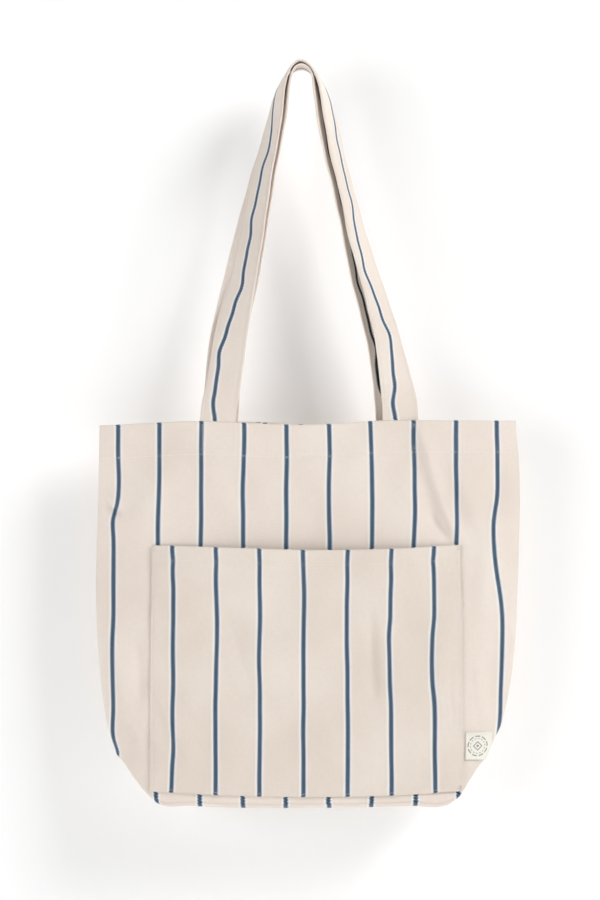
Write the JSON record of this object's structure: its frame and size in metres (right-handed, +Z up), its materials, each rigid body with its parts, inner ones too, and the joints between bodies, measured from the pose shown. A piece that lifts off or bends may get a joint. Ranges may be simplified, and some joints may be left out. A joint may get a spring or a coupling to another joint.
{
  "type": "canvas tote bag",
  "caption": "Striped cotton canvas tote bag with a boxed base, a wide front pocket and shoulder straps, hanging by its straps from a hook seat.",
  "frame": {"origin": "the hook's seat: the middle of the underside of the inner handle's crown, where a hook or peg carries the hanging bag", "axes": "+Z up along the hanging bag, -Y towards someone who faces the pocket, +X to their right"},
  "size_m": [0.42, 0.0784, 0.7468],
  "materials": {
    "body_canvas": "matt cotton twill with woven blue stripes",
    "pocket_canvas": "matt cotton twill with woven blue stripes",
    "strap_canvas": "folded cotton twill with one blue stripe",
    "thread": "matt cotton thread",
    "label": "smooth woven tape"
  },
  "bodies": {
    "bag": {"front_panel": "body_canvas", "back_panel": "body_canvas", "base_panel": "body_canvas", "front_hem": "body_canvas", "back_hem": "body_canvas", "front_strap_tail_left": "strap_canvas", "front_strap_tail_right": "strap_canvas", "back_strap_tail_left": "strap_canvas", "back_strap_tail_right": "strap_canvas", "side_seam_turning_left": "body_canvas", "side_seam_turning_right": "body_canvas", "pocket_panel": "pocket_canvas", "pocket_hem": "pocket_canvas", "pocket_turned_edges": "pocket_canvas", "woven_label": "label", "front_hem_stitching": "thread", "back_hem_stitching": "thread", "front_strap_stitching": "thread", "back_strap_stitching": "thread", "pocket_edge_stitching": "thread", "pocket_hem_stitching": "thread", "label_stitching": "thread"},
    "front_handle": {"front_handle": "strap_canvas", "front_handle_stitching": "thread"},
    "back_handle": {"back_handle": "strap_canvas", "back_handle_stitching": "thread"}
  },
  "joints": [
    {"name": "front_handle_fold", "type": "hinge", "parent": "bag", "child": "front_handle", "pos_m": [0.008, -0.0123, -0.354], "axis": [1, 0, 0], "range_deg": [0, 165]},
    {"name": "back_handle_fold", "type": "hinge", "parent": "bag", "child": "back_handle", "pos_m": [0.008, 0.0123, -0.354], "axis": [1, 0, 0], "range_deg": [-165, 0]}
  ]
}
